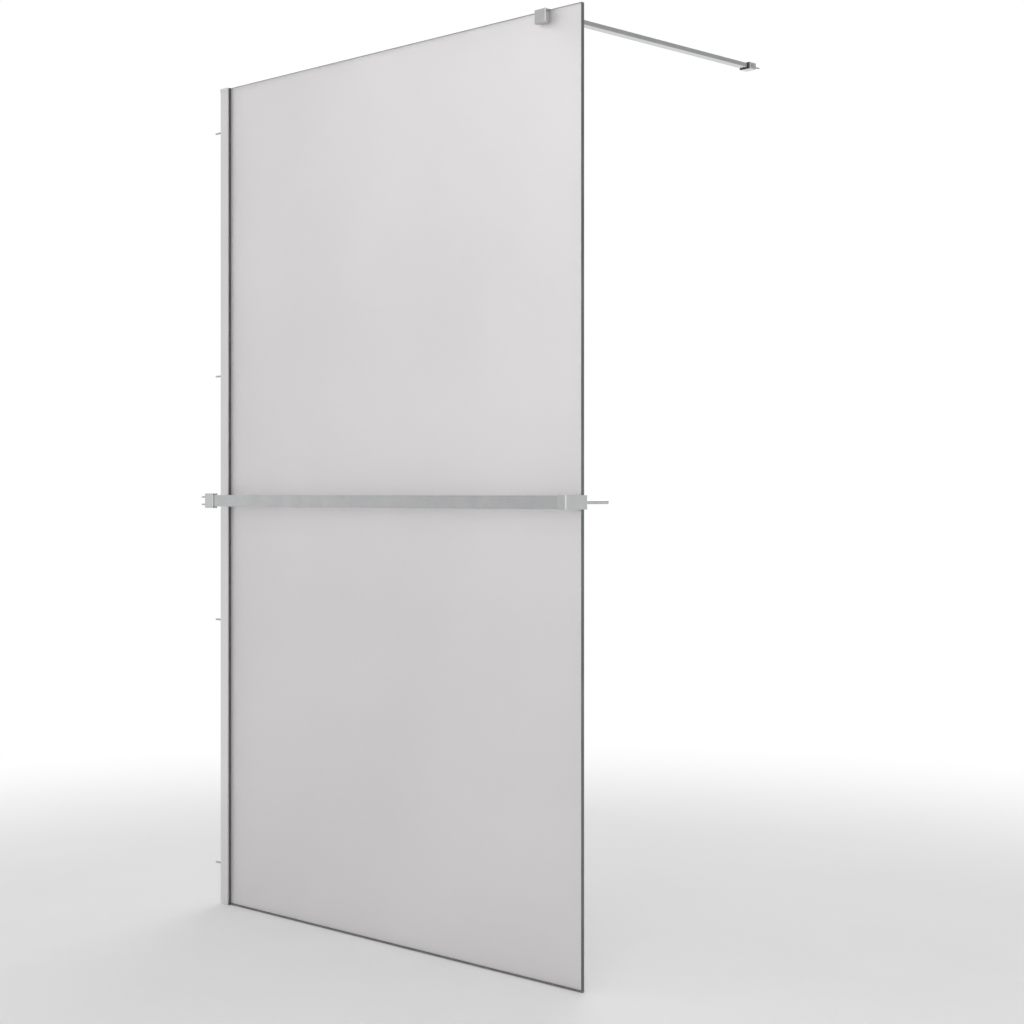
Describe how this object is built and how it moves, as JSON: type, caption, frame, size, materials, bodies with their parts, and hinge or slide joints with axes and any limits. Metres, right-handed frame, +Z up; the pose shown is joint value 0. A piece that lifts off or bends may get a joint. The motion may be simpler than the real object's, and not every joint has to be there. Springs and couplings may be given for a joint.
{
  "type": "walk-in shower screen",
  "caption": "Fixed satin glass shower screen in a slim wall profile, with a flat towel rail and hook peg outside and a flat steadying bar to the side wall.",
  "frame": {"origin": "on the wall, under the middle of the wall profile, at tray level", "axes": "+X along the glass from the wall to its free edge, +Y into the shower, towards the wall that the bar reaches, +Z up"},
  "size_m": [1.2344, 0.774, 2.003],
  "materials": {
    "satin_aluminium": "satin anodised extrusion",
    "satin_chrome": "soft bright plate",
    "grey_plastic": "moulded, grey",
    "dark_gasket": "soft, dark grey",
    "grey_seal": "soft, grey",
    "satin_glass": "acid-etched satin, polished edges",
    "soft_pad": "soft, grey",
    "zinc_steel": "zinc plated",
    "steel_screw": "bright steel"
  },
  "bodies": {
    "wall_side": {"wall_channel": "satin_aluminium", "wall_channel_screws": "steel_screw", "profile_top_cap": "satin_aluminium", "rail_wall_base": "zinc_steel", "rail_base_screws": "steel_screw", "rail_wall_flange": "satin_chrome", "rail_flange_screws": "steel_screw"},
    "screen": {"glass_profile": "satin_aluminium", "profile_lock_screws": "steel_screw", "lock_screw_caps": "grey_plastic", "outer_gasket": "dark_gasket", "inner_gasket": "dark_gasket", "glass_panel": "satin_glass", "glass_setting_block": "soft_pad", "bottom_seal": "grey_seal", "towel_rail": "satin_chrome", "rail_tongue_screw": "steel_screw", "edge_block": "satin_chrome", "edge_pads": "soft_pad", "edge_pressure_plate": "zinc_steel", "edge_clamp_screws": "steel_screw", "peg_collar": "satin_chrome", "hook_peg": "satin_chrome"},
    "bar": {"clamp_body": "satin_chrome", "clamp_pads": "soft_pad", "clamp_pressure_plate": "zinc_steel", "clamp_screws": "steel_screw", "bar_clamp_screw": "steel_screw", "stabiliser_bar": "satin_chrome"},
    "bar_wall_end": {"bar_wall_socket": "satin_chrome", "bar_socket_screws": "steel_screw", "bar_wall_base": "zinc_steel", "bar_wall_screws": "steel_screw"}
  },
  "joints": [
    {"name": "width_adjustment", "type": "slide", "parent": "wall_side", "child": "screen", "axis": [1, 0, 0], "range_m": [-0.005, 0.005]},
    {"name": "bar_clamp_slide", "type": "slide", "parent": "screen", "child": "bar", "axis": [1, 0, 0], "range_m": [-0.3, 0.07]},
    {"name": "bar_end_slide", "type": "slide", "parent": "bar", "child": "bar_wall_end", "axis": [0, 1, 0], "range_m": [-0.0025, 0.005]}
  ]
}
